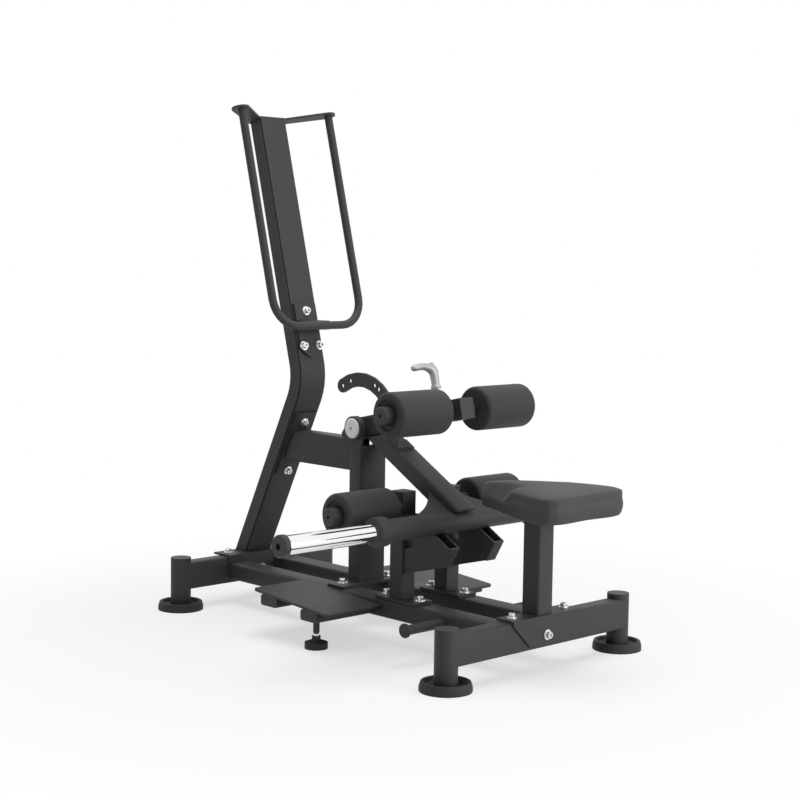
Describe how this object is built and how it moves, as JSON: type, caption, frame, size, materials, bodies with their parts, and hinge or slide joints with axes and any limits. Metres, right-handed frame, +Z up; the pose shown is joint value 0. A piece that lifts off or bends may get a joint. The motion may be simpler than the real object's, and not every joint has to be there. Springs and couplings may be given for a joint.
{
  "type": "standing hip thrust machine",
  "caption": "Standing hip thrust machine: plate-loaded swing arm, folding foam roller yoke, foot plates, saddle pad and a leaning column with a U-shaped handle.",
  "frame": {"origin": "on the floor, under the middle of the machine's outline seen from above", "axes": "+Z up; +Y from the saddle pad towards the leaning column, the way the user faces; +X towards the user's right hand, along the plate sleeves"},
  "size_m": [1.252, 1.403, 1.4833],
  "materials": {
    "black_paint": "satin",
    "black_rubber": "matte",
    "black_plastic": "matte",
    "white_plastic": "satin",
    "chrome_steel": "polished",
    "zinc_steel": "satin",
    "black_foam": "matte",
    "black_vinyl": "matte",
    "cast_aluminium": "satin"
  },
  "bodies": {
    "frame": {"band_peg_left": "black_paint", "band_peg_right": "black_paint", "beam": "black_paint", "catch_post_left": "black_paint", "catch_post_right": "black_paint", "centre_post": "black_paint", "centre_post_cap": "black_plastic", "column": "black_paint", "column_saddle": "black_paint", "crossbar_front": "black_paint", "crossbar_rear": "black_paint", "ear_left": "black_paint", "ear_right": "black_paint", "foot_cup_front_left": "black_rubber", "foot_cup_front_right": "black_rubber", "foot_cup_rear_left": "black_rubber", "foot_cup_rear_right": "black_rubber", "foot_plate_left": "black_paint", "foot_plate_right": "black_paint", "handle": "black_paint", "handle_bracket": "black_paint", "handle_top_plate": "black_paint", "leg_post_front_left": "black_paint", "leg_post_front_right": "black_paint", "leg_post_rear_left": "black_paint", "leg_post_rear_right": "black_paint", "pivot_cap_left": "white_plastic", "pivot_cap_right": "white_plastic", "pivot_shaft": "zinc_steel", "rail_left": "black_paint", "rail_right": "black_paint", "seat_pad": "black_vinyl", "seat_plate": "black_paint", "seat_post": "black_paint"},
    "swing_arm": {"swing_arm": "black_paint", "horn_tube": "black_paint", "stop_collar_left": "black_paint", "stop_collar_right": "black_paint", "plate_sleeve_left": "chrome_steel", "plate_sleeve_right": "chrome_steel", "sleeve_cap_left": "black_plastic", "sleeve_cap_right": "black_plastic", "sector_plate": "black_paint"},
    "yoke": {"yoke_sleeve": "black_paint"},
    "yoke_slide": {"yoke_slide": "black_paint"},
    "clamp_lever": {"clamp_lever": "cast_aluminium"},
    "pull_pin": {"pull_pin": "zinc_steel"},
    "upper_roller_left": {"upper_roller_foam_left": "black_foam", "upper_roller_hub_left": "black_plastic"},
    "upper_roller_right": {"upper_roller_foam_right": "black_foam", "upper_roller_hub_right": "black_plastic"},
    "lower_roller_left": {"lower_roller_foam_left": "black_foam", "lower_roller_hub_left": "black_plastic"},
    "lower_roller_right": {"lower_roller_foam_right": "black_foam", "lower_roller_hub_right": "black_plastic"},
    "leveller_left": {"leveller_stud_left": "zinc_steel", "leveller_foot_left": "black_rubber"},
    "leveller_right": {"leveller_stud_right": "zinc_steel", "leveller_foot_right": "black_rubber"}
  },
  "joints": [
    {"name": "swing_arm_lift", "type": "hinge", "parent": "frame", "child": "swing_arm", "pos_m": [0, 0.12674, 0.571], "axis": [-1, 0, 0], "range_deg": [0, 45]},
    {"name": "yoke_fold", "type": "hinge", "parent": "swing_arm", "child": "yoke", "pos_m": [0, 0.12674, 0.571], "axis": [-1, 0, 0], "range_deg": [0, 44]},
    {"name": "yoke_reach", "type": "slide", "parent": "yoke", "child": "yoke_slide", "axis": [0, -0.977, 0.213], "range_m": [-0.03, 0.06]},
    {"name": "clamp_turn", "type": "hinge", "parent": "yoke", "child": "clamp_lever", "pos_m": [0, -0.15856, 0.6332], "axis": [0, 0.213, 0.977], "range_deg": [0, 90]},
    {"name": "pin_pull", "type": "slide", "parent": "yoke", "child": "pull_pin", "axis": [1, 0, 0], "range_m": [-0.008, 0.012]},
    {"name": "upper_roller_spin_left", "type": "hinge", "parent": "yoke_slide", "child": "upper_roller_left", "pos_m": [-0.16, -0.22305, 0.64726], "axis": [1, 0, 0], "continuous": true},
    {"name": "upper_roller_spin_right", "type": "hinge", "parent": "yoke_slide", "child": "upper_roller_right", "pos_m": [0.16, -0.22305, 0.64726], "axis": [1, 0, 0], "continuous": true},
    {"name": "lower_roller_spin_left", "type": "hinge", "parent": "frame", "child": "lower_roller_left", "pos_m": [-0.243, -0.11726, 0.379], "axis": [1, 0, 0], "continuous": true},
    {"name": "lower_roller_spin_right", "type": "hinge", "parent": "frame", "child": "lower_roller_right", "pos_m": [0.243, -0.11726, 0.379], "axis": [1, 0, 0], "continuous": true},
    {"name": "leveller_height_left", "type": "slide", "parent": "frame", "child": "leveller_left", "axis": [0, 0, 1], "range_m": [0, 0.008]},
    {"name": "leveller_height_right", "type": "slide", "parent": "frame", "child": "leveller_right", "axis": [0, 0, 1], "range_m": [0, 0.008]}
  ]
}
